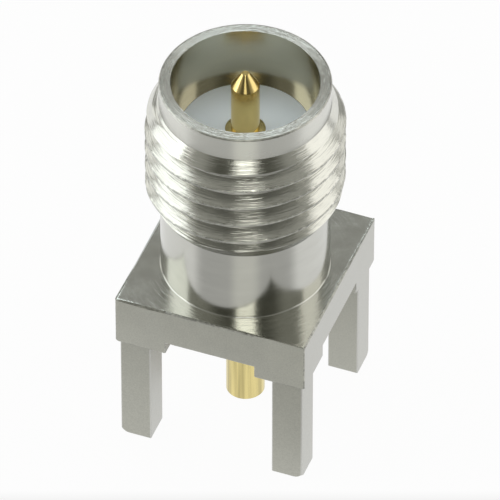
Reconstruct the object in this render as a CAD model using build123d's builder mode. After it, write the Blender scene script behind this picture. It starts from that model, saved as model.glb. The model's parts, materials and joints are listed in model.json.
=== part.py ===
# Vertical threaded coaxial jack for a circuit board, with a pin in its socket
# Frame: +Z up along the connector's axis, origin on that axis at the board's surface, millimetres
from build123d import *
import math
import os

# Base plate and the four pads that stand on the board
plate_side = 6.35
plate_thickness = 1.36
pad_side = 1.69
pad_height = 0.45
pad_corner_chamfer = 0.1

# Legs, one under each pad
leg_side = 1.02
leg_pitch = 5.08
leg_length = 4.05
leg_tip_chamfer = 0.17

# Turned outside, from the plate up to the rim
rim_height = 9.38
neck_diameter = 5.35
neck_length = 2.64
nose_diameter = 5.39
rim_chamfer = 0.03

# Outside thread, right-hand, a quarter inch across at 36 turns to the inch, tapered at both ends
thread_major_diameter = 6.28
thread_pitch = 25.4 / 36
thread_angle = 60
thread_zone_length = 4.11
thread_taper_low = 0.73
thread_taper_high = 0.6
thread_start_above_neck = 0.1
groove_overrun = 0.04

# Socket and the bore for the insulator
socket_diameter = 4.66
socket_depth = 1.97
insulator_diameter = 4.12
stop_lip_thickness = 0.5
stop_lip_diameter = 3.0

# Centre contact, from its tip down to the solder end
contact_diameter = 0.9
contact_above_rim = 0.35
contact_cone_length = 0.5
contact_tip_diameter = 0.25
shank_diameter = 1.27
barb_diameter = 1.6
barb_length = 0.6
solder_pin_diameter = 1.24
solder_pin_length = 3.82
solder_pin_chamfer = 0.06

# Heights that follow from the sizes above
plate_top = pad_height + plate_thickness
neck_top = plate_top + neck_length
thread_top = neck_top + thread_zone_length
ledge_height = rim_height - socket_depth
lip_top = pad_height + stop_lip_thickness
contact_tip_height = rim_height + contact_above_rim
barb_top = pad_height + barb_length


def corner_chamfer_ring(half_side, cut, face_height):
    """What a turned 45 degree chamfer takes off the corners of a square bar at its lower face."""
    corner_radius = half_side * 2**0.5
    with BuildPart() as ring:
        with BuildSketch(Plane.XZ):
            with BuildLine():
                Polyline(
                    (corner_radius - cut, face_height),
                    (corner_radius + cut, face_height),
                    (corner_radius + cut, face_height + 2 * cut),
                    close=True,
                )
            make_face()
        revolve(axis=Axis.Z)
    return ring.part


# One turn of the thread's groove, with the flats and depth of the basic sixty degree form
crest_flat = thread_pitch / 8
root_flat = thread_pitch / 4
flank_slope = math.tan(math.radians(thread_angle / 2))
thread_depth = (thread_pitch - crest_flat - root_flat) / 2 / flank_slope
groove_root_radius = thread_major_diameter / 2 - thread_depth
groove_mouth_radius = thread_major_diameter / 2 + groove_overrun
groove_mouth_half = root_flat / 2 + (thread_depth + groove_overrun) * flank_slope

with BuildPart() as groove_turn:
    with BuildLine() as groove_path:
        Helix(pitch=thread_pitch, height=thread_pitch, radius=groove_root_radius)
    with BuildSketch(Plane.XZ):
        with BuildLine():
            Polyline(
                (groove_root_radius, -root_flat / 2),
                (groove_mouth_radius, -groove_mouth_half),
                (groove_mouth_radius, groove_mouth_half),
                (groove_root_radius, root_flat / 2),
                close=True,
            )
        make_face()
    sweep(path=groove_path.line, is_frenet=True)

# The groove runs past both ends of the thread, where the neck and the nose are clear of it
groove_foot = neck_top + thread_start_above_neck - thread_pitch
groove_turns = math.ceil(thread_zone_length / thread_pitch) + 2
groove_turn_places = [(0, 0, groove_foot + turn * thread_pitch) for turn in range(groove_turns)]


# Body: square plate with pads and legs, turned neck, thread and nose above it
pad_place = (plate_side - pad_side) / 2
pad_corners = [(x * pad_place, y * pad_place) for x in (-1, 1) for y in (-1, 1)]
pad_chamfer_ring = corner_chamfer_ring(plate_side / 2, pad_corner_chamfer, 0)
leg_chamfer_ring = corner_chamfer_ring((leg_pitch + leg_side) / 2, leg_tip_chamfer, -leg_length)

with BuildPart() as body:
    with BuildSketch(Plane.XY.offset(pad_height)):
        Rectangle(plate_side, plate_side)
    extrude(amount=plate_thickness)

    # The cross channel between the pads is open, so the pads are added under the plate
    with BuildSketch(Plane.XY):
        with Locations(*pad_corners):
            Rectangle(pad_side, pad_side)
    extrude(amount=pad_height)
    add(pad_chamfer_ring, mode=Mode.SUBTRACT)

    with BuildSketch(Plane.XY):
        with GridLocations(leg_pitch, leg_pitch, 2, 2):
            Rectangle(leg_side, leg_side)
    extrude(amount=-leg_length)
    add(leg_chamfer_ring, mode=Mode.SUBTRACT)

    # Half section of everything turned above the plate
    with BuildSketch(Plane.XZ):
        with BuildLine():
            Polyline(
                (0, plate_top),
                (neck_diameter / 2, plate_top),
                (neck_diameter / 2, neck_top),
                (thread_major_diameter / 2, neck_top + thread_taper_low),
                (thread_major_diameter / 2, thread_top - thread_taper_high),
                (nose_diameter / 2, thread_top),
                (nose_diameter / 2, rim_height - rim_chamfer),
                (nose_diameter / 2 - rim_chamfer, rim_height),
                (0, rim_height),
                close=True,
            )
        make_face()
    revolve(axis=Axis.Z)
    with Locations(*groove_turn_places):
        add(groove_turn.part, mode=Mode.SUBTRACT)

    # Stepped bore: socket, insulator seat and the lip that stops the insulator
    with BuildSketch(Plane.XZ):
        with BuildLine():
            Polyline(
                (0, pad_height),
                (stop_lip_diameter / 2, pad_height),
                (stop_lip_diameter / 2, lip_top),
                (insulator_diameter / 2, lip_top),
                (insulator_diameter / 2, ledge_height),
                (socket_diameter / 2, ledge_height),
                (socket_diameter / 2, rim_height),
                (0, rim_height),
                close=True,
            )
        make_face()
    revolve(axis=Axis.Z, mode=Mode.SUBTRACT)
body.part.label = "body"

# Centre contact: one turned piece, its barb holds it in the insulator
with BuildPart() as center_contact:
    with BuildSketch(Plane.XZ):
        with BuildLine():
            Polyline(
                (0, -solder_pin_length),
                (solder_pin_diameter / 2 - solder_pin_chamfer, -solder_pin_length),
                (solder_pin_diameter / 2, -solder_pin_length + solder_pin_chamfer),
                (solder_pin_diameter / 2, pad_height),
                (barb_diameter / 2, barb_top),
                (shank_diameter / 2, barb_top),
                (shank_diameter / 2, ledge_height),
                (contact_diameter / 2, ledge_height),
                (contact_diameter / 2, contact_tip_height - contact_cone_length),
                (contact_tip_diameter / 2, contact_tip_height),
                (0, contact_tip_height),
                close=True,
            )
        make_face()
    revolve(axis=Axis.Z)
center_contact.part.label = "center_contact"

# Insulator: a stepped bush that fills the seat around the contact's shank
with BuildPart() as insulator:
    with BuildSketch(Plane.XZ):
        with BuildLine():
            Polyline(
                (0, pad_height),
                (stop_lip_diameter / 2, pad_height),
                (stop_lip_diameter / 2, lip_top),
                (insulator_diameter / 2, lip_top),
                (insulator_diameter / 2, ledge_height),
                (0, ledge_height),
                close=True,
            )
        make_face()
    revolve(axis=Axis.Z)
    add(center_contact.part, mode=Mode.SUBTRACT)
insulator.part.label = "insulator"

os.makedirs("parts", exist_ok=True)
export_step(body.part, "parts/body.step")
export_step(insulator.part, "parts/insulator.step")
export_step(center_contact.part, "parts/center_contact.step")
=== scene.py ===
"""Threaded coaxial circuit board jack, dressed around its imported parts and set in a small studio.

Meshes are built in millimetres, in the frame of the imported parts, and are scaled to metres once finished.
"""

import json
import math
from types import SimpleNamespace

import bmesh
import bpy
from mathutils import Matrix, Quaternion, Vector, noise


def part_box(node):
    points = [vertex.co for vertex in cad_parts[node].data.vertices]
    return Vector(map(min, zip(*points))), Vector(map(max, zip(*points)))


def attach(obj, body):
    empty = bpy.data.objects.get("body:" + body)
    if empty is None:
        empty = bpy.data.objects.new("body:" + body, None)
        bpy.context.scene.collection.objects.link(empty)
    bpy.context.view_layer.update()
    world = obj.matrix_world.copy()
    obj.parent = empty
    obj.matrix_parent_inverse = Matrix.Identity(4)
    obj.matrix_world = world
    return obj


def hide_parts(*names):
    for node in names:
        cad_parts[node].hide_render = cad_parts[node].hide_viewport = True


bl_info = {
    "name": "Threaded Coaxial Jack",
    "version": (1, 0, 0),
    "blender": (4, 5, 0),
    "location": "View3D > Sidebar > Jack",
    "description": "Builds a threaded circuit board jack with its nickel, gold and studio light",
    "category": "Object",
}

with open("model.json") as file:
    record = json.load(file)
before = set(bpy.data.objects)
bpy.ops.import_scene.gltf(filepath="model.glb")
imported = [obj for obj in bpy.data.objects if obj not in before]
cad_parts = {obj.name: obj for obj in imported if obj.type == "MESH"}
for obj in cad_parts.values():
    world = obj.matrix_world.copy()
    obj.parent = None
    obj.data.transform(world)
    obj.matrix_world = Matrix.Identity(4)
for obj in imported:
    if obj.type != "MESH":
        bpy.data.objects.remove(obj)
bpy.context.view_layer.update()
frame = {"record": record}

# One millimetre in Blender's metres
MM = 0.001

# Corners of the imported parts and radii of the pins, in millimetres
BODY_LOW, BODY_HIGH = (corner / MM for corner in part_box("body"))
INSULATOR_LOW, INSULATOR_HIGH = (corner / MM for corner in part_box("insulator"))
CONTACT_LOW, CONTACT_HIGH = (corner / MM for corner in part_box("center_contact"))
PIN_RADIUS = {mount["name"]: mount["dims"]["r_mm"] for mount in frame["record"]["mounts"] if mount["dims"]}

# Columns around everything turned, and rows to one pitch of the thread
COLUMNS = 240
ROWS_PER_PITCH = 32

# Edges that turn by more than this stay sharp
SHARP_ANGLE = math.radians(20)

# What lies this near to a height or a radius, in millimetres, counts as on it
TOUCH = 0.001

# Vertices nearer than this, in millimetres, become one
WELD = 1e-5


def length(name, description, millimetres):
    """A size that a user may change, kept in Blender's metres."""
    return bpy.props.FloatProperty(
        name=name, description=description, default=millimetres * MM, min=0, unit="LENGTH", precision=5
    )


def tint(name, description, colour):
    """A colour that a user may change."""
    return bpy.props.FloatVectorProperty(
        name=name, description=description, default=colour, size=3, min=0, max=1, subtype="COLOR"
    )


class JackBaseSizes(bpy.types.PropertyGroup):
    """Square plate with its pads and legs."""

    plate_thickness: length("Plate thickness", "From the pads' root to the top of the plate", 1.36)
    pad_side: length("Pad side", "Side of each square pad under the plate", 1.69)
    pad_corner_cut: length("Pad corner cut", "What the turning tool took off the pads' outer corners", 0.1)
    leg_side: length("Leg side", "Side of each square leg", 1.02)
    leg_pitch: length("Leg pitch", "Between the middles of two neighbouring legs", 5.1)
    leg_corner_cut: length("Leg corner cut", "What the turning tool took off the legs' outer corners", 0.17)
    edge_round: length("Edge round", "Width of the worn edge around the milled faces", 0.04)
    burr: length("Burr", "How far the plate's upper edge strays from straight", 0.05)


class JackBarrelSizes(bpy.types.PropertyGroup):
    """Turned neck, thread, nose and bore."""

    neck_diameter: length("Neck diameter", "Across the plain neck below the thread", 5.35)
    neck_length: length("Neck length", "From the plate to the thread", 2.64)
    neck_foot_round: length("Neck foot round", "Radius in the corner between neck and plate", 0.04)
    thread_diameter: length("Thread diameter", "Across the thread's crests", 6.28)
    thread_pitch: length("Thread pitch", "From one crest to the next", 25.4 / 36)
    thread_length: length("Thread length", "From the neck to the nose", 4.11)
    thread_start: length("Thread start", "Height of a groove's middle above the neck, on the X axis", 0.1)
    taper_low: length("Lower taper", "Height over which the thread tapers down to the neck", 0.73)
    taper_high: length("Upper taper", "Height over which the thread tapers up to the nose", 0.6)
    crest_wear: length("Crest wear", "How deep the crests are nicked", 0.02)
    nose_diameter: length("Nose diameter", "Across the plain nose above the thread", 5.39)
    rim_fall_outside: length("Rim fall outside", "How far the rounded rim falls to its outer edge", 0.06)
    rim_fall_inside: length("Rim fall inside", "How far the rounded rim falls to the socket's edge", 0.01)
    rim_crown_diameter: length("Rim crown", "Across the highest circle of the rounded rim", 5.23)
    socket_diameter: length("Socket diameter", "Across the open socket", 4.66)
    stop_lip_thickness: length("Stop lip thickness", "Lip that stops the insulator", 0.5)
    stop_lip_diameter: length("Stop lip diameter", "Hole through the stop lip", 3.0)


class JackContactSizes(bpy.types.PropertyGroup):
    """Pin in the socket, shank in the insulator and solder pin."""

    cone_length: length("Cone length", "Height of the cone at the tip", 0.5)
    tip_diameter: length("Tip diameter", "Across the blunt end of the cone", 0.25)
    shank_diameter: length("Shank diameter", "Across the thicker shank", 1.27)
    barb_length: length("Barb length", "Length of the barb that holds it in the insulator", 0.6)
    solder_chamfer: length("Solder chamfer", "Chamfer at the solder end", 0.06)


class JackFinishes(bpy.types.PropertyGroup):
    """Colours of the plating and the insulator, with painted shade and painted light on the milled faces."""

    # Painted shade and painted light: one milled plating, darker on faces towards ±Y (darkest on the legs),
    # lighter on faces towards ±X
    front_nickel: tint("Front nickel", "Dull plating on the faces milled along X", (0.535, 0.535, 0.48))
    leg_nickel: tint("Leg nickel", "Duller plating on the same faces of the legs", (0.465, 0.465, 0.415))
    side_nickel: tint("Side nickel", "Dull plating on the faces milled along Y", (0.6, 0.6, 0.57))
    edge_nickel: tint("Edge nickel", "Worn plating on the edges between milled faces", (0.42, 0.42, 0.38))
    turned_nickel: tint("Turned nickel", "Bright plating on the turned faces", (0.68, 0.68, 0.63))
    neck_nickel: tint("Neck nickel", "Smoother plating on the neck", (0.55, 0.55, 0.51))
    crest_nickel: tint("Crest nickel", "Rubbed plating on the crests and the rim's edge", (0.5, 0.5, 0.46))
    bore_nickel: tint("Bore nickel", "Yellower plating in the bore", (0.62, 0.605, 0.5))
    ledge_nickel: tint("Ledge nickel", "Dull plating on the socket's ledge", (0.5, 0.475, 0.385))
    contact_gold: tint("Contact gold", "Plating of the pin in the socket", (0.84, 0.65, 0.265))
    solder_gold: tint("Solder end gold", "Duller plating of the shoulder and solder pin", (0.65, 0.55, 0.245))
    insulator: tint("Insulator", "Body of the white insulator", (0.85, 0.92, 0.99))


def names_of(settings):
    """The names of a group's own settings."""
    return [name for name in settings.bl_rna.properties.keys() if name not in ("rna_type", "name")]


def in_mm(sizes):
    """A group's sizes by their names, in millimetres."""
    return SimpleNamespace(**{name: getattr(sizes, name) / MM for name in names_of(sizes)})


# Mesh work shared by the pieces


def lathe(profile):
    """Surface turned about Z from (radius, height) points, closed where the profile meets the axis."""
    mesh = bmesh.new()
    rings = []
    for radius, height in profile:
        if radius == 0:
            rings.append([mesh.verts.new((0, 0, height))])
            continue
        turn = (2 * math.pi * column / COLUMNS for column in range(COLUMNS))
        rings.append([mesh.verts.new((radius * math.cos(a), radius * math.sin(a), height)) for a in turn])
    for lower, upper in zip(rings, rings[1:]):
        for column in range(COLUMNS):
            following = (column + 1) % COLUMNS
            corners = [lower[column % len(lower)], lower[following % len(lower)]]
            corners += [upper[following % len(upper)], upper[column % len(upper)]]
            mesh.faces.new(dict.fromkeys(corners))
    return mesh


def arc(centre, radius, start, end, steps=4):
    """Points of a round in a profile, from one angle in degrees to another."""
    angles = (math.radians(start + (end - start) * step / steps) for step in range(steps + 1))
    return [(centre[0] + radius * math.cos(a), centre[1] + radius * math.sin(a)) for a in angles]


def finished_mesh(built, name):
    """A mesh of that name from what was built, closed where its parts meet and facing outwards."""
    bmesh.ops.remove_doubles(built, verts=built.verts, dist=WELD)
    bmesh.ops.recalc_face_normals(built, faces=built.faces)
    mesh = bpy.data.meshes.new(name)
    built.to_mesh(mesh)
    built.free()
    return mesh


def linked(mesh):
    """A new object in the scene, named after its mesh."""
    made = bpy.data.objects.new(mesh.name, mesh)
    bpy.context.scene.collection.objects.link(made)
    return made


def combine(target, tool, operation):
    """Adds the tool to the target, cuts it away or keeps what both share, and removes the tool."""
    modifier = target.modifiers.new(operation.title(), "BOOLEAN")
    modifier.operation = operation
    modifier.solver = "EXACT"
    modifier.object = tool
    bake_modifiers(target)
    bpy.data.objects.remove(tool)


def bake_modifiers(made):
    """Turns the evaluated object into its own plain mesh."""
    evaluated = made.evaluated_get(bpy.context.evaluated_depsgraph_get())
    mesh = bpy.data.meshes.new_from_object(evaluated)
    mesh.name = made.data.name
    made.modifiers.clear()
    made.data = mesh


def place_piece(made, node):
    """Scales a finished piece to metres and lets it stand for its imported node."""
    made.data.transform(Matrix.Scale(MM, 4))
    for polygon in made.data.polygons:
        polygon.use_smooth = True
    made.data.set_sharp_from_angle(angle=SHARP_ANGLE)
    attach(made, "root")
    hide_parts(node)


# Nodes

# Places of the colours among a Mix node's sockets
MIX_FIRST, MIX_SECOND, MIX_RESULT = 6, 7, 2


class NodeMaker:
    """Adds nodes to a tree and feeds their inputs with values or other nodes' outputs."""

    def __init__(self, tree):
        self.tree = tree

    def add(self, kind, *values, named=None, **settings):
        node = self.tree.nodes.new(kind)
        for name, value in settings.items():
            setattr(node, name, value)
        for socket, value in zip(node.inputs, values):
            self.feed(socket, value)
        for name, value in (named or {}).items():
            self.feed(node.inputs[name], value)
        return node

    def feed(self, socket, value):
        if isinstance(value, bpy.types.NodeSocket):
            self.tree.links.new(value, socket)
        elif value is not None:
            socket.default_value = value

    def math(self, operation, *values):
        return self.add("ShaderNodeMath", *values, operation=operation).outputs[0]

    def noise(self, place, scale, detail, roughness, **fourth):
        """Noise over a place, as a factor, in four dimensions where W is given."""
        dimensions = "4D" if fourth else "3D"
        named = {"Vector": place, "Scale": scale, "Detail": detail, "Roughness": roughness, **fourth}
        return self.add("ShaderNodeTexNoise", noise_dimensions=dimensions, named=named).outputs["Fac"]

    def mixed_colours(self, factor, first, second):
        """The first colour, turned into the second as the factor grows."""
        mixer = self.add("ShaderNodeMix", data_type="RGBA", named={"Factor": factor})
        self.feed(mixer.inputs[MIX_FIRST], first)
        self.feed(mixer.inputs[MIX_SECOND], second)
        return mixer.outputs[MIX_RESULT]

    def along(self, place, direction):
        """How far a place lies along a direction."""
        return self.add("ShaderNodeVectorMath", place, direction, operation="DOT_PRODUCT").outputs["Value"]

    def place_in_mm(self):
        """The object's own coordinates, in millimetres."""
        place = self.add("ShaderNodeTexCoord").outputs["Object"]
        return self.add("ShaderNodeVectorMath", place, (1 / MM,) * 3, operation="MULTIPLY").outputs[0]


def new_group(name, kind, inputs, outputs):
    """A node group with its sockets, and the maker that fills it."""
    tree = bpy.data.node_groups.new(name, kind)
    for direction, sockets in (("INPUT", inputs), ("OUTPUT", outputs)):
        for label, (socket_type, default) in sockets.items():
            socket = tree.interface.new_socket(label, in_out=direction, socket_type=socket_type)
            if default is not None:
                socket.default_value = default
    return tree, NodeMaker(tree)


def shared_group(name, build):
    """The node group of that name, built the first time that a material asks for it."""
    return bpy.data.node_groups.get(name) or build(name)


FLOAT = "NodeSocketFloat"

# Turns that the thread's sheet starts below its first groove, and how near its edges come where a turn closes
SPARE_TURNS = 2
SHEET_WELD = 2e-4

# How soft the crests' corners are, beside the height of a flank
CREST_SOFTNESS = 0.06

# Nicks in the crests: how often they come around the thread, the scale, detail and roughness of their noise,
# where in it they start, how much it is raised above that, and how fast they fade down the flanks
NICKS_AROUND = 9
NICK_NOISE = (2.2, 3.0, 0.65)
NICK_START = 0.5
NICK_GAIN = 4
NICK_FADE = 6


def threaded_sleeve_tree():
    """Geometry nodes for an outside thread: a helical sheet of rows, trimmed by a taper at each end."""
    sizes = ("Major Radius", "Root Radius", "Neck Radius", "Nose Radius", "Pitch", "Low End", "High End")
    sizes += ("Low Taper", "High Taper", "First Groove", "Crest Flat", "Root Flat", "Crest Wear", "Rise")
    inputs = {label: (FLOAT, 0.0) for label in sizes}
    inputs["Columns"] = ("NodeSocketInt", COLUMNS)
    inputs["Rows"] = ("NodeSocketInt", ROWS_PER_PITCH)
    inputs["Material"] = ("NodeSocketMaterial", None)
    outputs = {"Mesh": ("NodeSocketGeometry", None)}
    tree, make = new_group("threaded_sleeve", "GeometryNodeTree", inputs, outputs)
    tree.is_modifier = True
    given = make.add("NodeGroupInput").outputs
    math_ = make.math

    # Flat sheet, one unit wide and high: across it is one turn, up it is the way along the thread
    across = math_("ADD", given["Columns"], 1)
    sheet = make.add("GeometryNodeMeshGrid", 1.0, 1.0, across, given["Rows"]).outputs["Mesh"]
    flat = make.add("ShaderNodeSeparateXYZ", make.add("GeometryNodeInputPosition").outputs[0]).outputs
    turn = math_("ADD", flat["X"], 0.5)
    along = math_("MULTIPLY", math_("ADD", flat["Y"], 0.5), given["Rise"])
    angle = math_("MULTIPLY", turn, 2 * math.pi)
    east = math_("COSINE", angle)
    north = math_("SINE", angle)

    # Trapezoid groove, by the distance from the middle of the nearest one
    from_groove = math_("PINGPONG", along, math_("DIVIDE", given["Pitch"], 2))
    depth = math_("SUBTRACT", given["Major Radius"], given["Root Radius"])
    flats = math_("ADD", given["Crest Flat"], given["Root Flat"])
    flank_run = math_("DIVIDE", math_("SUBTRACT", given["Pitch"], flats), 2)
    past_root = math_("SUBTRACT", from_groove, math_("DIVIDE", given["Root Flat"], 2))
    share = math_("SMOOTH_MIN", math_("DIVIDE", past_root, flank_run), 1, CREST_SOFTNESS)
    share = math_("MAXIMUM", share, 0)
    grooved = math_("ADD", given["Root Radius"], math_("MULTIPLY", share, depth))

    # Nicks and dents that wander along the crests
    around = [math_("MULTIPLY", side, NICKS_AROUND) for side in (east, north)]
    spot = make.add("ShaderNodeCombineXYZ", *around, along)
    wander = make.noise(spot.outputs[0], *NICK_NOISE)
    nick = math_("MULTIPLY", math_("MAXIMUM", math_("SUBTRACT", wander, NICK_START), 0), NICK_GAIN)
    worn = math_("MULTIPLY", math_("MULTIPLY", nick, math_("POWER", share, NICK_FADE)), given["Crest Wear"])
    grooved = math_("SUBTRACT", grooved, worn)

    # Heights end at the neck and the nose, where the tapers take over
    start = math_("SUBTRACT", given["First Groove"], math_("MULTIPLY", given["Pitch"], SPARE_TURNS))
    climb = math_("ADD", along, math_("MULTIPLY", given["Pitch"], turn))
    height = math_("MAXIMUM", math_("ADD", start, climb), given["Low End"])
    height = math_("MINIMUM", height, given["High End"])

    def taper(foot_radius, above_foot, run):
        """Radius of a cone from its foot up to the crests."""
        slope = math_("DIVIDE", math_("SUBTRACT", given["Major Radius"], foot_radius), run)
        return math_("ADD", foot_radius, math_("MULTIPLY", above_foot, slope))

    low_cone = taper(given["Neck Radius"], math_("SUBTRACT", height, given["Low End"]), given["Low Taper"])
    high_cone = taper(given["Nose Radius"], math_("SUBTRACT", given["High End"], height), given["High Taper"])
    radius = math_("MINIMUM", grooved, math_("MINIMUM", low_cone, high_cone))

    level = [math_("MULTIPLY", radius, side) for side in (east, north)]
    place = make.add("ShaderNodeCombineXYZ", *level, height)
    shaped = make.add("GeometryNodeSetPosition", named={"Geometry": sheet, "Position": place.outputs[0]})
    welded = make.add("GeometryNodeMergeByDistance", shaped.outputs[0], named={"Distance": SHEET_WELD})
    real = make.add("GeometryNodeRealizeInstances", welded.outputs[0])
    coated = make.add("GeometryNodeSetMaterial", real.outputs[0], named={"Material": given["Material"]})
    make.add("NodeGroupOutput", coated.outputs[0])
    return tree


def modelled_by_nodes(name, tree, values):
    """The plain mesh that a geometry node tree makes with the given inputs."""
    maker = linked(bpy.data.meshes.new(name))
    modifier = maker.modifiers.new(name, "NODES")
    modifier.node_group = tree
    sockets = {item.name: item.identifier for item in tree.interface.items_tree if item.in_out == "INPUT"}
    for label, value in values.items():
        modifier[sockets[label]] = value
    bake_modifiers(maker)
    mesh = maker.data
    bpy.data.objects.remove(maker)
    return mesh


# Finishes

# Detail and roughness of the noise in each kind of mark
RING_NOISE = (2.0, 0.6)
MOTTLE_NOISE = (4.0, 0.6)
STREAK_NOISE = (3.0, 0.7)

# Where in its noise each kind of mark starts and ends
SHEEN_RANGE = (0.35, 0.65)
CLOUD_RANGE = (0.3, 0.7)
GRAIN_RANGE = (0.35, 0.65)
STREAK_RANGE = (0.3, 0.7)

# How the sheen of a turned face changes: how often beside its grooves, and how far in tint and roughness
SHEEN_PER_GROOVE = 0.12
SHEEN_TINT = 0.03
SHEEN_ROUGHNESS = 0.15

# Turns the highlights from along the grooves to across them, in whole turns
ACROSS_GROOVES = 0.25

# Clouds and grain of a milled face, as shares of its tone, and how far the clouds change its roughness
CLOUD_SHARE, GRAIN_SHARE = 0.4, 0.6
CLOUD_ROUGHNESS = 0.04

# Streaks on drawn wire: how often they change in a millimetre across it, and how much slower along it
STREAKS_PER_MM = 5
STREAKS_ALONG = 0.02


def turning_marks_group(name):
    """Fine grooves that a lathe tool leaves around the axis, as a height, and a slower sheen as a mask."""
    inputs = {"Marks per mm": (FLOAT, 20.0), "Drift": (FLOAT, 1.5)}
    outputs = {"Height": (FLOAT, None), "Sheen": (FLOAT, None)}
    tree, make = new_group(name, "ShaderNodeTree", inputs, outputs)
    given = make.add("NodeGroupInput").outputs
    x, y, z = make.add("ShaderNodeSeparateXYZ", make.place_in_mm()).outputs
    radius = make.math("SQRT", make.math("ADD", make.math("MULTIPLY", x, x), make.math("MULTIPLY", y, y)))
    around = [make.math("MULTIPLY", make.math("DIVIDE", side, radius), given["Drift"]) for side in (x, y)]

    def rings(frequency):
        """Noise that runs around the axis and changes quickly across it."""
        out = make.math("MULTIPLY", radius, frequency)
        up = make.math("MULTIPLY", z, frequency)
        slants = (make.math("ADD", out, up), make.math("SUBTRACT", up, out))
        place = make.add("ShaderNodeCombineXYZ", *slants, around[0])
        return make.noise(place.outputs[0], 1.0, *RING_NOISE, W=around[1])

    height = rings(given["Marks per mm"])
    sheen = rings(make.math("MULTIPLY", given["Marks per mm"], SHEEN_PER_GROOVE))
    make.add("NodeGroupOutput", height, sheen)
    return tree


def mottle_group(name):
    """Cloudy patches and fine pits of plating on a rough face."""
    inputs = {"Patch Scale": (FLOAT, 1.4), "Pit Scale": (FLOAT, 22.0)}
    outputs = {"Patches": (FLOAT, None), "Pits": (FLOAT, None)}
    tree, make = new_group(name, "ShaderNodeTree", inputs, outputs)
    given = make.add("NodeGroupInput").outputs
    place = make.place_in_mm()
    masks = [make.noise(place, given[scale], *MOTTLE_NOISE) for scale in ("Patch Scale", "Pit Scale")]
    make.add("NodeGroupOutput", *masks)
    return tree


def new_finish(name, base_colour, roughness, metallic=1.0):
    """A material with an empty Principled shader, and the maker that adds to it."""
    material = bpy.data.materials.new(name)
    material.use_nodes = True
    make = NodeMaker(material.node_tree)
    shader = material.node_tree.nodes["Principled BSDF"]
    shader.inputs["Base Color"].default_value = (*base_colour, 1)
    shader.inputs["Roughness"].default_value = roughness
    shader.inputs["Metallic"].default_value = metallic
    return material, make, shader


def shaded(make, colour, fac, low, high):
    """The colour, from low to high times as bright over the factor."""
    dark = [low * channel for channel in colour] + [1]
    light = [min(1, high * channel) for channel in colour] + [1]
    return make.mixed_colours(fac, dark, light)


def stretched(make, fac, low, high, to_low=0.0, to_high=1.0, curve="LINEAR"):
    """The factor spread from one range to another, with its ends held."""
    values = (fac, low, high, to_low, to_high)
    return make.add("ShaderNodeMapRange", *values, interpolation_type=curve).outputs[0]


def raised(make, shader, height, depth):
    """Lets a height, this many millimetres from its lowest to its highest, turn the shader's normals."""
    bump = make.add("ShaderNodeBump", named={"Strength": 1.0, "Distance": depth * MM})
    make.feed(bump.inputs["Height"], height)
    make.feed(shader.inputs["Normal"], bump.outputs[0])


def turned_metal(name, colour, roughness, anisotropy, groove_depth, per_mm, drift):
    """Plated metal off a lathe: grooves run around it and pull its highlights out across them."""
    material, make, shader = new_finish(name, colour, roughness)
    marks = shared_group("turning_marks", turning_marks_group)
    rings = make.add("ShaderNodeGroup", node_tree=marks, named={"Marks per mm": per_mm, "Drift": drift})
    sheen = stretched(make, rings.outputs["Sheen"], *SHEEN_RANGE)
    make.feed(shader.inputs["Base Color"], shaded(make, colour, sheen, 1 - SHEEN_TINT, 1 + SHEEN_TINT))
    smoother, rougher = (roughness * (1 + change) for change in (-SHEEN_ROUGHNESS, SHEEN_ROUGHNESS))
    make.feed(shader.inputs["Roughness"], stretched(make, sheen, 0, 1, smoother, rougher))
    shader.inputs["Anisotropic"].default_value = anisotropy
    shader.inputs["Anisotropic Rotation"].default_value = ACROSS_GROOVES
    tangent = make.add("ShaderNodeTangent", direction_type="RADIAL", axis="Z")
    make.feed(shader.inputs["Tangent"], tangent.outputs[0])
    raised(make, shader, rings.outputs["Height"], groove_depth)
    return material


def milled_metal(name, colour, roughness, contrast, pit_scale=22.0, pit_depth=0.003):
    """Dull plating over milled faces, clouded and finely pitted."""
    material, make, shader = new_finish(name, colour, roughness)
    mottle = shared_group("plating_mottle", mottle_group)
    patches = make.add("ShaderNodeGroup", node_tree=mottle, named={"Pit Scale": pit_scale})
    cloud = stretched(make, patches.outputs["Patches"], *CLOUD_RANGE)
    grain = stretched(make, patches.outputs["Pits"], *GRAIN_RANGE)
    parts = (make.math("MULTIPLY", cloud, CLOUD_SHARE), make.math("MULTIPLY", grain, GRAIN_SHARE))
    tone = make.math("ADD", *parts)
    make.feed(shader.inputs["Base Color"], shaded(make, colour, tone, 1 - contrast, 1 + contrast))
    smoother, rougher = roughness - CLOUD_ROUGHNESS, roughness + CLOUD_ROUGHNESS
    make.feed(shader.inputs["Roughness"], stretched(make, cloud, 0, 1, smoother, rougher))
    raised(make, shader, patches.outputs["Pits"], pit_depth)
    return material


def drawn_metal(name, colour, roughness, contrast):
    """Plating over drawn wire, with pale and dark streaks along it."""
    material, make, shader = new_finish(name, colour, roughness)
    spot = make.add("ShaderNodeTexCoord").outputs["Object"]
    pull = (1, 1, STREAKS_ALONG)
    pulled_out = make.add("ShaderNodeVectorMath", spot, pull, operation="MULTIPLY").outputs[0]
    streaks = make.noise(pulled_out, STREAKS_PER_MM / MM, *STREAK_NOISE)
    tone = stretched(make, streaks, *STREAK_RANGE)
    make.feed(shader.inputs["Base Color"], shaded(make, colour, tone, 1 - contrast, 1 + contrast))
    return material


def insulator_plastic(name, colour, roughness, pit_depth):
    """Waxy white plastic with a soft turned face."""
    material, make, shader = new_finish(name, colour, roughness, metallic=0.0)
    mottle = shared_group("plating_mottle", mottle_group)
    patches = make.add("ShaderNodeGroup", node_tree=mottle)
    make.feed(shader.inputs["Base Color"], shaded(make, colour, patches.outputs["Patches"], 0.98, 1.0))
    raised(make, shader, patches.outputs["Pits"], pit_depth)
    return material


# Body

# Points that the plate's upper edge gets along each side, and how often its burr changes in a millimetre
BURR_POINTS = 90
BURR_PER_MM = 7

# Roughness, growth and number of the octaves of the burr's noise
BURR_OCTAVES = (0.5, 2.0, 3)

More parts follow.
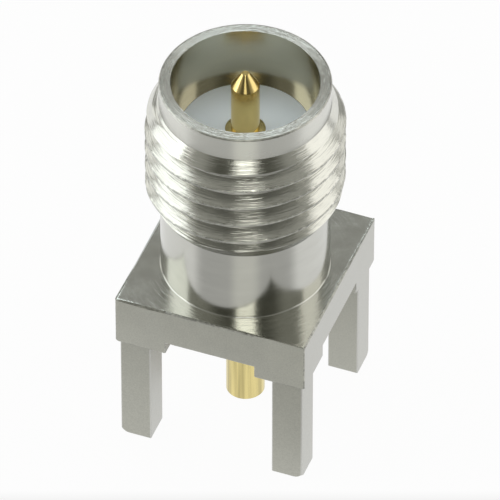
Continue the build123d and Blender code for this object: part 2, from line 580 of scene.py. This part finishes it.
# Rounds at the corners of the legs and pads, as multiples of the flat cuts that they stand for
LEG_ROUNDNESS = 1.6
PAD_ROUNDNESS = 1.5

# Flats of the basic thread form, and its crests once they are rubbed, as shares of the pitch
CREST_SHARE = 1 / 8
ROOT_SHARE = 1 / 4
RUBBED_CREST_SHARE = 1 / 14

# Between a flank of the thread and a line straight out from the axis
HALF_THREAD_ANGLE = math.radians(30)

# How deep the barrel and the end of the round at its foot are sunk into the plate, in millimetres
BARREL_SUNK = 0.6
FOOT_SUNK = 0.004

# How far the cutting shapes reach past the body, in millimetres
PAST = 1

# How far below the highest crests the rubbed plating reaches, in millimetres
CREST_BAND = 0.02

# A face whose normal has this much of a direction, or more, faces that way
FACES = 0.99
FACES_UP = 0.9


def block_of_cells(lines_x, lines_y, lines_z, filled):
    """Closed mesh over the filled cells of a box grid, with no face between two filled cells."""
    mesh = bmesh.new()
    corners = {}
    lines = (lines_x, lines_y, lines_z)
    counts = [len(line) - 1 for line in lines]

    def corner(place):
        if place not in corners:
            corners[place] = mesh.verts.new([line[index] for line, index in zip(lines, place)])
        return corners[place]

    def is_filled(cell):
        if not all(0 <= index < count for index, count in zip(cell, counts)):
            return False
        return filled(*((line[index] + line[index + 1]) / 2 for line, index in zip(lines, cell)))

    for cell in ((i, j, k) for i in range(counts[0]) for j in range(counts[1]) for k in range(counts[2])):
        if not is_filled(cell):
            continue
        for axis in range(3):
            for side in (0, 1):
                beyond = list(cell)
                beyond[axis] += 2 * side - 1
                if is_filled(tuple(beyond)):
                    continue
                face = []
                for first, second in ((0, 0), (1, 0), (1, 1), (0, 1)):
                    place = list(cell)
                    place[axis] += side
                    place[(axis + 1) % 3] += first
                    place[(axis + 2) % 3] += second
                    face.append(corner(tuple(place)))
                mesh.faces.new(face if side else face[::-1])
    bmesh.ops.dissolve_limit(
        mesh, angle_limit=math.radians(1), verts=mesh.verts, edges=mesh.edges, use_dissolve_boundaries=False
    )
    return mesh


def base_block(sizes, plate_top):
    """Plate, pads and legs as one block, with worn edges and a ragged upper edge."""
    half_plate = BODY_HIGH.x
    pad_inner = half_plate - sizes.pad_side
    leg_middle = sizes.leg_pitch / 2
    half_leg = sizes.leg_side / 2
    pad_root = INSULATOR_LOW.z
    marks = [pad_inner, leg_middle - half_leg, leg_middle + half_leg, half_plate]
    lines = sorted([-mark for mark in marks] + marks)

    def filled(x, y, z):
        if z > pad_root:
            return True
        if z > 0:
            return min(abs(x), abs(y)) > pad_inner
        return all(abs(abs(side) - leg_middle) < half_leg for side in (x, y))

    block = block_of_cells(lines, lines, [BODY_LOW.z, 0, pad_root, plate_top], filled)

    # The upper outline gets points for the burr to move
    upper = [edge for edge in block.edges if all(vertex.co.z == plate_top for vertex in edge.verts)]
    bmesh.ops.subdivide_edges(block, edges=upper, cuts=BURR_POINTS)
    edge_round = sizes.edge_round
    sharp = [edge for edge in block.edges if edge.calc_face_angle(0) > SHARP_ANGLE]
    bmesh.ops.bevel(
        block, geom=sharp, offset=edge_round, offset_type="OFFSET", segments=2, profile=0.5, affect="EDGES"
    )
    rag_upper_edge(block, half_plate, plate_top, edge_round, sizes.burr)
    return block


def rag_upper_edge(block, half_plate, plate_top, edge_round, burr):
    """Makes the rounded upper edge ragged, as a milling cutter leaves it, but never wider than the plate."""
    up = Vector((0, 0, 1))
    for vertex in block.verts:
        point = vertex.co
        beside = half_plate - max(abs(point.x), abs(point.y))
        below = plate_top - point.z
        if max(beside, below) > edge_round + TOUCH:
            continue
        on_top = below < TOUCH
        on_side = beside < TOUCH

        # The line on the top takes its noise from another layer than the lines below it
        layer = 3 if on_top else 0
        stray = burr * noise.fractal(Vector((point.x, point.y, layer)) * BURR_PER_MM, *BURR_OCTAVES)
        outward = Vector((point.x, point.y, 0)).normalized()
        if on_top:
            point = point - outward * abs(stray)
        elif on_side:
            point = point - up * abs(stray)
        else:
            point = point + (outward + up) * stray
        held_in = [max(-half_plate, min(half_plate, side)) for side in (point.x, point.y)]
        vertex.co = (*held_in, point.z)


def corner_envelope(sizes, plate_top):
    """Solid of revolution that keeps the block's outer corners as the turning tool left them."""
    leg_corner = math.sqrt(2) * (sizes.leg_pitch + sizes.leg_side) / 2
    pad_corner = math.sqrt(2) * BODY_HIGH.x
    leg_cut = sizes.leg_corner_cut
    pad_cut = sizes.pad_corner_cut
    leg_tip = BODY_LOW.z
    between = (leg_corner + pad_corner - 2 * pad_cut) / 2
    clear = pad_corner + PAST
    leg_round = LEG_ROUNDNESS * leg_cut
    pad_round = PAD_ROUNDNESS * pad_cut
    leg_inset = leg_corner - leg_round
    pad_inset = pad_corner - pad_round
    profile = [(0, leg_tip - PAST), (leg_inset, leg_tip - PAST), (leg_inset, leg_tip)]
    profile += arc((leg_inset, leg_tip + leg_round), leg_round, -90, 0, 8)
    profile += [(between, leg_tip + 1.5 * leg_round), (between, 0), (pad_inset, 0)]
    profile += arc((pad_inset, pad_round), pad_round, -90, 0, 8)
    profile += [(clear, 1.5 * pad_round), (clear, plate_top + PAST), (0, plate_top + PAST)]
    return lathe(profile)


def held(profile, hold=0.02):
    """The profile with a point near both ends of each long line, so that its faces stay flat up to them."""
    points = []
    for start, end in zip(profile, profile[1:]):
        long = math.dist(start, end)
        points.append(start)
        if long > 4 * hold:
            for share in (hold / long, 1 - hold / long):
                points.append(tuple(a + (b - a) * share for a, b in zip(start, end)))
    return points + [profile[-1]]


def rounded_fall(crown, height, edge, fall, steps=6):
    """Points of an arc that starts level at the crown of a rim and falls to its edge."""
    reach = edge - crown
    radius = (reach * reach + fall * fall) / (2 * fall)
    places = (reach * step / steps for step in range(steps + 1))
    return [(crown + place, height - radius + math.sqrt(radius * radius - place * place)) for place in places]


def barrel_solid(sizes, plate_top, material):
    """Turned neck, thread and nose, closed at the rim and sunk into the plate."""
    neck = sizes.neck_diameter / 2
    nose = sizes.nose_diameter / 2
    neck_top = plate_top + sizes.neck_length
    thread_top = neck_top + sizes.thread_length
    rim = BODY_HIGH.z
    foot_round = sizes.neck_foot_round
    socket = sizes.socket_diameter / 2
    crown_circle = sizes.rim_crown_diameter / 2

    sunk = plate_top - BARREL_SUNK
    root = [(0, sunk), (neck, sunk), (neck + foot_round, plate_top - FOOT_SUNK)]
    root += arc((neck + foot_round, plate_top + foot_round), foot_round, -100, -180, 5)
    root += [(neck, neck_top)]
    crown = [(nose, thread_top)]
    crown += rounded_fall(crown_circle, rim, nose, sizes.rim_fall_outside)[::-1]
    crown += rounded_fall(crown_circle, rim, socket, sizes.rim_fall_inside)[1:]
    crown += [(0, rim - sizes.rim_fall_inside)]

    pitch = sizes.thread_pitch
    pitches = math.ceil(sizes.thread_length / sizes.thread_pitch) + SPARE_TURNS
    thread_depth = pitch * (1 - CREST_SHARE - ROOT_SHARE) / 2 / math.tan(HALF_THREAD_ANGLE)
    major = sizes.thread_diameter / 2
    values = {
        "Major Radius": major,
        "Root Radius": major - thread_depth,
        "Neck Radius": neck,
        "Nose Radius": nose,
        "Pitch": pitch,
        "Low End": neck_top,
        "High End": thread_top,
        "Low Taper": sizes.taper_low,
        "High Taper": sizes.taper_high,
        "First Groove": neck_top + sizes.thread_start,
        "Crest Flat": pitch * RUBBED_CREST_SHARE,
        "Root Flat": pitch * ROOT_SHARE,
        "Crest Wear": sizes.crest_wear,
        "Rise": pitches * pitch,
        "Rows": pitches * ROWS_PER_PITCH + 1,
        "Material": material,
    }
    sleeve = modelled_by_nodes("threaded_sleeve", threaded_sleeve_tree(), values)
    barrel = bmesh.new()
    barrel.from_mesh(sleeve)
    for turned in (lathe(root), lathe(crown)):
        part = bpy.data.meshes.new("turned")
        turned.to_mesh(part)
        turned.free()
        barrel.from_mesh(part)
        bpy.data.meshes.remove(part)
    return barrel


def bore_tool(sizes):
    """What the stepped bore takes out: socket, insulator seat and the hole in the stop lip."""
    socket = sizes.socket_diameter / 2
    seat = INSULATOR_HIGH.x
    lip = sizes.stop_lip_diameter / 2
    lip_top = INSULATOR_LOW.z + sizes.stop_lip_thickness
    ledge = INSULATOR_HIGH.z
    rim = BODY_HIGH.z
    foot = INSULATOR_LOW.z - PAST
    profile = [(0, foot), (lip, foot), (lip, lip_top), (seat, lip_top), (seat, ledge)]
    profile += [(socket, ledge), (socket, rim + PAST), (0, rim + PAST)]
    return lathe(profile)


def finish_faces(mesh, sizes, plate_top, finishes):
    """Gives each face the finish of the tool that made it, or of the wear on its edge or crest, with painted
    shade or painted light on milled faces by their direction.
    """
    neck_top = plate_top + sizes.neck_length
    thread_top = neck_top + sizes.thread_length
    rim_low = BODY_HIGH.z - sizes.rim_fall_outside
    bore = sizes.socket_diameter / 2
    foot = sizes.neck_diameter / 2 + sizes.neck_foot_round
    crest = sizes.thread_diameter / 2 - CREST_BAND
    crown_circle = sizes.rim_crown_diameter / 2
    for polygon in mesh.polygons:
        middle = polygon.center
        radius = math.hypot(middle.x, middle.y)
        faces_up = polygon.normal.z > FACES_UP
        if radius < bore + TOUCH and middle.z > INSULATOR_LOW.z + TOUCH:
            finish = "ledge" if faces_up and middle.z < INSULATOR_HIGH.z + TOUCH else "bore"
        elif middle.z > rim_low:
            finish = "crest" if radius > crown_circle else "rim"
        elif middle.z > thread_top:
            finish = "nose"
        elif middle.z > neck_top:
            finish = "crest" if radius > crest else "thread"
        elif abs(middle.z - plate_top) < TOUCH and faces_up:
            finish = "plate"
        elif middle.z > plate_top and radius < foot + TOUCH:
            finish = "neck"
        elif middle.z > 0 and max(abs(share) for share in polygon.normal) < FACES:
            finish = "edge"
        # Painted shade on milled faces towards ±Y, darker on the legs; painted light on those towards ±X
        elif abs(polygon.normal.y) > FACES:
            finish = "front" if middle.z > 0 else "leg"
        else:
            finish = "side"
        polygon.material_index = finishes.index(finish)


def body_finishes(colours):
    """The body's materials by the names of their finishes, in the order of its material slots."""

    def milled(name, **looks):
        return milled_metal(f"{name}_nickel", getattr(colours, f"{name}_nickel"), **looks)

    def turned(name, **looks):
        own_colour = getattr(colours, f"{name}_nickel", colours.turned_nickel)
        return turned_metal(f"{name}_nickel", own_colour, **looks)

    return {
        # One milled plating as painted shade on the front and leg faces and painted light on the side faces
        "front": milled("front", roughness=0.5, contrast=0.12),
        "leg": milled("leg", roughness=0.5, contrast=0.12),
        "side": milled("side", roughness=0.5, contrast=0.06),
        "edge": milled("edge", roughness=0.35, contrast=0.45, pit_scale=9.0, pit_depth=0.02),
        "plate": turned("plate", roughness=0.17, anisotropy=0.5, groove_depth=0.008, per_mm=9, drift=5.0),
        "neck": turned("neck", roughness=0.16, anisotropy=0.5, groove_depth=0.0012, per_mm=14, drift=1.5),
        "thread": turned("thread", roughness=0.18, anisotropy=0.5, groove_depth=0.013, per_mm=16, drift=2.0),
        "crest": milled("crest", roughness=0.3, contrast=0.35, pit_scale=7.0, pit_depth=0.02),
        "nose": turned("nose", roughness=0.24, anisotropy=0.8, groove_depth=0.006, per_mm=12, drift=2.0),
        "rim": turned("rim", roughness=0.24, anisotropy=0.5, groove_depth=0.032, per_mm=22, drift=4.0),
        "ledge": turned("ledge", roughness=0.14, anisotropy=0.5, groove_depth=0.001, per_mm=22, drift=3.0),
        "bore": turned("bore", roughness=0.2, anisotropy=0.6, groove_depth=0.001, per_mm=22, drift=3.0),
    }


class JACK_OT_body(bpy.types.Operator):
    """Builds the nickel-plated body with its legs, thread and bore"""

    bl_idname = "jack.body"
    bl_label = "Body"

    def execute(self, context):
        sizes = in_mm(context.scene.jack_barrel)
        base_sizes = in_mm(context.scene.jack_base)
        plate_top = INSULATOR_LOW.z + base_sizes.plate_thickness
        made = body_finishes(context.scene.jack_finishes)
        envelope = linked(finished_mesh(corner_envelope(base_sizes, plate_top), "envelope"))
        barrel = linked(finished_mesh(barrel_solid(sizes, plate_top, made["thread"]), "barrel"))
        bore = linked(finished_mesh(bore_tool(sizes), "bore"))
        body = linked(finished_mesh(base_block(base_sizes, plate_top), "body"))
        combine(body, envelope, "INTERSECT")
        combine(body, barrel, "UNION")
        combine(body, bore, "DIFFERENCE")
        body.data.materials.clear()
        for material in made.values():
            body.data.materials.append(material)
        finish_faces(body.data, sizes, plate_top, list(made))
        place_piece(body, "body")
        return {"FINISHED"}


# Insulator and contact

# Rounds on the insulator's front edge and on the contact's edges, in millimetres
INSULATOR_ROUND = 0.03
CONTACT_ROUND = 0.015


class JACK_OT_insulator(bpy.types.Operator):
    """Builds the white bush that holds the contact in the bore"""

    bl_idname = "jack.insulator"
    bl_label = "Insulator"

    def execute(self, context):
        shank = in_mm(context.scene.jack_contact).shank_diameter / 2
        barrel = in_mm(context.scene.jack_barrel)
        seat = INSULATOR_HIGH.x
        lip = barrel.stop_lip_diameter / 2
        low, high = INSULATOR_LOW.z, INSULATOR_HIGH.z
        lip_top = low + barrel.stop_lip_thickness
        profile = [(shank, low), (lip, low), (lip, lip_top), (seat, lip_top)]
        profile += arc((seat - INSULATOR_ROUND, high - INSULATOR_ROUND), INSULATOR_ROUND, 0, 90)
        profile += [(shank, high), (shank, low)]
        insulator = linked(finished_mesh(lathe(profile), "insulator"))
        colour = context.scene.jack_finishes.insulator
        plastic = insulator_plastic("white_insulator", colour, roughness=0.42, pit_depth=0.001)
        insulator.data.materials.append(plastic)
        place_piece(insulator, "insulator")
        return {"FINISHED"}


class JACK_OT_contact(bpy.types.Operator):
    """Builds the gold-plated contact from its coned tip to the solder end"""

    bl_idname = "jack.contact"
    bl_label = "Centre contact"

    def execute(self, context):
        sizes = in_mm(context.scene.jack_contact)
        pin = PIN_RADIUS["contact_pin"]
        solder = PIN_RADIUS["solder_pin"]
        shank = sizes.shank_diameter / 2
        tip = sizes.tip_diameter / 2
        barb = CONTACT_HIGH.x
        chamfer = sizes.solder_chamfer
        cone_foot = CONTACT_HIGH.z - sizes.cone_length
        barb_top = INSULATOR_LOW.z + sizes.barb_length
        foot, top = CONTACT_LOW.z, CONTACT_HIGH.z
        shoulder = INSULATOR_HIGH.z
        soft = CONTACT_ROUND
        profile = [(0, foot), (solder - chamfer, foot), (solder, foot + chamfer)]
        profile += [(solder, INSULATOR_LOW.z), (barb, barb_top), (shank, barb_top)]
        profile += [(shank, shoulder - soft), (shank - soft, shoulder), (pin, shoulder)]
        profile += [(pin, cone_foot - soft), (pin - soft / 3, cone_foot)]
        profile += [(tip, top - soft), (tip - soft, top), (0, top)]
        contact = linked(finished_mesh(lathe(held(profile)), "center_contact"))

        # The duller gold of the solder end reaches up to the shoulder in the socket
        finishes = context.scene.jack_finishes
        tip_gold = turned_metal(
            "contact_gold",
            finishes.contact_gold,
            roughness=0.17,
            anisotropy=0.5,
            groove_depth=0.0006,
            per_mm=26,
            drift=3.0,
        )
        end_gold = drawn_metal("solder_gold", finishes.solder_gold, roughness=0.17, contrast=0.35)
        contact.data.materials.append(tip_gold)
        contact.data.materials.append(end_gold)
        for polygon in contact.data.polygons:
            polygon.material_index = int(polygon.center.z < shoulder + TOUCH)
        place_piece(contact, "center_contact")
        return {"FINISHED"}


# Studio

# Width of the camera's sensor in millimetres, and the distances in metres between which it sees
SENSOR = 36
SEES_FROM, SEES_TO = 0.01, 10

# Floor: half its side in millimetres, and how much of what is seen of it is its own glow
FLOOR_HALF_SIDE = 2000
FLOOR_GLOW = 0.96

# The floor's colours from the part out towards the camera, over this many millimetres
FLOOR_REACH = 60
# Painted shade: past the white under the part, the floor turns grey towards the camera
FLOOR_SHADE_COLOURS = {
    0.075: (1.0, 1.0, 1.0),
    0.11: (0.55, 0.55, 0.545),
    0.19: (0.58, 0.58, 0.57),
    0.27: (0.54, 0.54, 0.53),
    1: (0.51, 0.51, 0.5),
}

# Soft pool of light on the floor: its colour, between which distances aside it ends, each for one towards the
# camera, and between which distances towards the camera it starts, in millimetres
POOL_COLOUR = (0.8, 0.8, 0.76, 1)
POOL_SIDES = (0.12, 0.4)
POOL_START = (4, 12)

# Painted shade in the thread's grooves: how bright the floor shows through two reflections
TWICE_REFLECTED_SHADE = 0.34

# Soft lamps, in millimetres to the camera's right, towards the camera and up: where each stands and where it
# faces; then its roll in degrees, its width and height, its brightness and its colour
LAMPS = {
    "left_softbox": ((-400, -120, 380), (0, -120, 380), 14, (330, 784), 1.36, (0.965, 1.0, 1.0)),
    "right_softbox": ((400, -95, 380), (0, -95, 380), -14, (280, 784), 1.0, (1.0, 0.985, 0.96)),
    "front_softbox": ((0, 368, 395), (0, 0, 0), 0, (175, 190), 2.6, (1.0, 1.0, 0.93)),
    "front_panel": ((0, 481, 245), (0, 0, 0), 0, (175, 190), 0.95, (1.0, 1.0, 0.93)),
    "top_strip": ((0, 202, 500), (0, 0, 0), 0, (125, 180), 0.32, (1.0, 1.0, 0.93)),
    "left_panel": ((-400, 120, 60), (0, 120, 60), 0, (170, 140), 1.3, (1.0, 1.0, 0.985)),
    "left_rear_panel": ((-400, -385, 190), (0, -385, 190), 0, (200, 380), 0.8, (1.0, 1.0, 0.985)),
    "right_rear_panel": ((400, -335, 190), (0, -335, 190), 0, (200, 380), 0.7, (1.0, 0.985, 0.96)),
    "right_panel": ((400, 140, 60), (0, 140, 60), 0, (190, 140), 1.0, (1.0, 0.985, 0.96)),
    "rear_softbox": ((0, -190, 400), (0, 0, 0), 0, (260, 220), 1.8, (0.86, 0.95, 1.0)),
}

# Room: its colours from the paler wall behind the part, over the other walls and the ceiling, to the dark
# side under the camera, and how far above level that side lies, in degrees
ROOM_COLOURS = {
    0: (0.5, 0.5, 0.48),
    0.35: (0.285, 0.285, 0.265),
    0.6: (0.32, 0.32, 0.29),
    0.85: (0.33, 0.33, 0.3),
    0.93: (0.08, 0.08, 0.065),
}
DARK_SIDE_HEIGHT = 28


def angle(name, description, degrees):
    """An angle that a user may change."""
    return bpy.props.FloatProperty(
        name=name, description=description, default=math.radians(degrees), subtype="ANGLE", unit="ROTATION"
    )


class JackStudio(bpy.types.PropertyGroup):
    """Where the camera stands and looks."""

    camera_turn: angle("Camera turn", "How far round towards +X the camera stands", 20.7535)
    camera_height: angle("Camera height", "How far above level the camera stands", 43.4754)
    camera_distance: length("Camera distance", "From the part to the camera", 300.0)
    focal_length: bpy.props.FloatProperty(
        name="Focal length", description="Lens on a 36 mm sensor", default=682.99, unit="CAMERA"
    )
    aim_right: length("Aim right", "How far right of the part's origin the camera looks", 0.1441)
    aim_up: length("Aim up", "How far above the part's origin the camera looks, across its view", 1.5897)


def camera_axes(studio):
    """Directions to the camera, to its right and to its top."""
    turn, height = studio.camera_turn, studio.camera_height
    back = Vector((math.sin(turn) * math.cos(height), -math.cos(turn) * math.cos(height), math.sin(height)))
    right = Vector((math.cos(turn), math.sin(turn), 0))
    return back, right, back.cross(right)


def add_camera(studio):
    """The camera, at the fitted place."""
    back, right, up = camera_axes(studio)
    data = bpy.data.cameras.new("camera")
    data.lens = studio.focal_length
    data.sensor_width = SENSOR
    data.clip_start, data.clip_end = SEES_FROM, SEES_TO
    camera = bpy.data.objects.new("camera", data)
    camera.rotation_mode = "QUATERNION"
    camera.rotation_quaternion = Matrix((right, up, back)).transposed().to_quaternion()
    camera.location = back * studio.camera_distance + right * studio.aim_right + up * studio.aim_up
    bpy.context.scene.collection.objects.link(camera)
    bpy.context.scene.camera = camera


def studio_axes(studio):
    """Level directions to the camera's right and towards the camera, and straight up."""
    turn = studio.camera_turn
    right = Vector((math.cos(turn), math.sin(turn), 0))
    near = Vector((math.sin(turn), -math.cos(turn), 0))
    return right, near, Vector((0, 0, 1))


def floor_colour(make, studio):
    """The floor's colour: bands of painted shade towards the camera and the pool of light over them."""
    spot = make.add("ShaderNodeTexCoord").outputs["Object"]
    right, near, _ = studio_axes(studio)
    nearer = make.along(spot, near)
    beside = make.along(spot, right)
    # Painted shade: the floor turns grey in front of the part
    shade_bands = make.add("ShaderNodeValToRGB", stretched(make, nearer, 0, FLOOR_REACH * MM))
    fill_ramp(shade_bands.color_ramp, FLOOR_SHADE_COLOURS)

    aside = make.math("DIVIDE", make.math("ABSOLUTE", beside), make.math("MAXIMUM", nearer, MM))
    pool = stretched(make, aside, *POOL_SIDES, 1, 0, "SMOOTHSTEP")
    start, full = (distance * MM for distance in POOL_START)
    pool = make.math("MULTIPLY", pool, stretched(make, nearer, start, full, 0, 1, "SMOOTHSTEP"))
    return make.mixed_colours(pool, shade_bands.outputs["Color"], POOL_COLOUR)


def add_floor(studio):
    """Pale floor at the legs' tips: white under the part and, with painted shade, light grey in front of it.
    """
    mesh = bmesh.new()
    bmesh.ops.create_grid(mesh, x_segments=1, y_segments=1, size=FLOOR_HALF_SIDE)
    bmesh.ops.translate(mesh, verts=mesh.verts, vec=(0, 0, BODY_LOW.z))
    floor = linked(finished_mesh(mesh, "floor"))
    floor.data.transform(Matrix.Scale(MM, 4))
    material, make, shader = new_finish("pale_floor", (0.8, 0.8, 0.8), 0.9, metallic=0.0)
    colour = floor_colour(make, studio)
    rays = make.add("ShaderNodeLightPath").outputs
    seen = make.math("MAXIMUM", rays["Is Camera Ray"], rays["Is Glossy Ray"])
    seen = make.math("MAXIMUM", seen, rays["Is Transmission Ray"])
    # Painted shade: the floor glows dimmer to rays that reach it through two reflections, which darkens the
    # thread's grooves
    strength = stretched(make, rays["Glossy Depth"], 1, 2, 1, TWICE_REFLECTED_SHADE)
    glow = make.add("ShaderNodeEmission", colour, strength)
    share = make.math("MULTIPLY", seen, FLOOR_GLOW)
    mixed = make.add("ShaderNodeMixShader", share, shader.outputs[0], glow.outputs[0])
    output = material.node_tree.nodes["Material Output"]
    make.feed(output.inputs["Surface"], mixed.outputs[0])
    floor.data.materials.append(material)


def fill_ramp(ramp, colours):
    """Sets a colour ramp's stops from places and colours."""
    while len(ramp.elements) < len(colours):
        ramp.elements.new(0.5)
    for element, (place, colour) in zip(ramp.elements, colours.items()):
        element.position = place
        element.color = (*colour, 1)


def add_lamps(studio):
    """Soft rectangular lamps on both sides of the part, behind it, over it and over the camera."""
    axes = studio_axes(studio)

    def in_studio(shares):
        """A place in metres, from its millimetres along the studio's axes."""
        return sum((axis * share for axis, share in zip(axes, shares)), Vector()) * MM

    for name, (place, aim, roll, size, brightness, colour) in LAMPS.items():
        place, aim = in_studio(place), in_studio(aim)
        data = bpy.data.lights.new(name, "AREA")
        data.shape = "RECTANGLE"
        data.size, data.size_y = (side * MM for side in size)
        data.color = colour
        data.energy = brightness * math.pi * data.size * data.size_y
        lamp = bpy.data.objects.new(name, data)
        lamp.location = place
        lamp.rotation_mode = "QUATERNION"
        facing = (place - aim).to_track_quat("Z", "Y")
        lamp.rotation_quaternion = facing @ Quaternion((0, 0, 1), math.radians(roll))
        bpy.context.scene.collection.objects.link(lamp)


def add_world(studio):
    """Dim room whose colour changes with the angle from its dark side."""
    world = bpy.data.worlds.new("studio")
    world.use_nodes = True
    make = NodeMaker(world.node_tree)
    background = world.node_tree.nodes["Background"]
    looking = make.add("ShaderNodeTexCoord").outputs["Generated"]
    _, forward, up = studio_axes(studio)
    height = math.radians(DARK_SIDE_HEIGHT)
    dark_side = forward * math.cos(height) + up * math.sin(height)
    facing = make.along(looking, dark_side)
    room = make.add("ShaderNodeValToRGB", stretched(make, facing, -1, 1))
    fill_ramp(room.color_ramp, ROOM_COLOURS)
    make.feed(background.inputs["Color"], room.outputs["Color"])
    background.inputs["Strength"].default_value = 1.0
    bpy.context.scene.world = world


class JACK_OT_stage(bpy.types.Operator):
    """Sets up the floor, the light and the camera"""

    bl_idname = "jack.stage"
    bl_label = "Stage"

    def execute(self, context):
        studio = context.scene.jack_studio
        add_camera(studio)
        add_floor(studio)
        add_lamps(studio)
        add_world(studio)
        context.scene.view_settings.view_transform = "Standard"
        return {"FINISHED"}


class JACK_PT_panel(bpy.types.Panel):
    """Lists the sizes, the colours and what can be built"""

    bl_label = "Threaded Jack"
    bl_idname = "JACK_PT_panel"
    bl_space_type = "VIEW_3D"
    bl_region_type = "UI"
    bl_category = "Jack"

    def draw(self, context):
        for group, title in SETTINGS.values():
            box = self.layout.box()
            box.label(text=title)
            settings = getattr(context.scene, group)
            for name in names_of(settings):
                box.prop(settings, name)
        for operator in OPERATORS:
            self.layout.operator(operator.bl_idname)


SETTINGS = {
    JackBaseSizes: ("jack_base", "Base"),
    JackBarrelSizes: ("jack_barrel", "Barrel"),
    JackContactSizes: ("jack_contact", "Contact"),
    JackFinishes: ("jack_finishes", "Finishes"),
    JackStudio: ("jack_studio", "Studio"),
}
OPERATORS = (JACK_OT_body, JACK_OT_insulator, JACK_OT_contact, JACK_OT_stage)


def register():
    for group, (name, _) in SETTINGS.items():
        bpy.utils.register_class(group)
        setattr(bpy.types.Scene, name, bpy.props.PointerProperty(type=group))
    for operator in OPERATORS:
        bpy.utils.register_class(operator)
    bpy.utils.register_class(JACK_PT_panel)


def unregister():
    bpy.utils.unregister_class(JACK_PT_panel)
    for operator in reversed(OPERATORS):
        bpy.utils.unregister_class(operator)
    for group, (name, _) in reversed(SETTINGS.items()):
        delattr(bpy.types.Scene, name)
        bpy.utils.unregister_class(group)


def main():
    register()
    bpy.ops.jack.body()
    bpy.ops.jack.insulator()
    bpy.ops.jack.contact()
    bpy.ops.jack.stage()


if __name__ == "__main__":
    main()
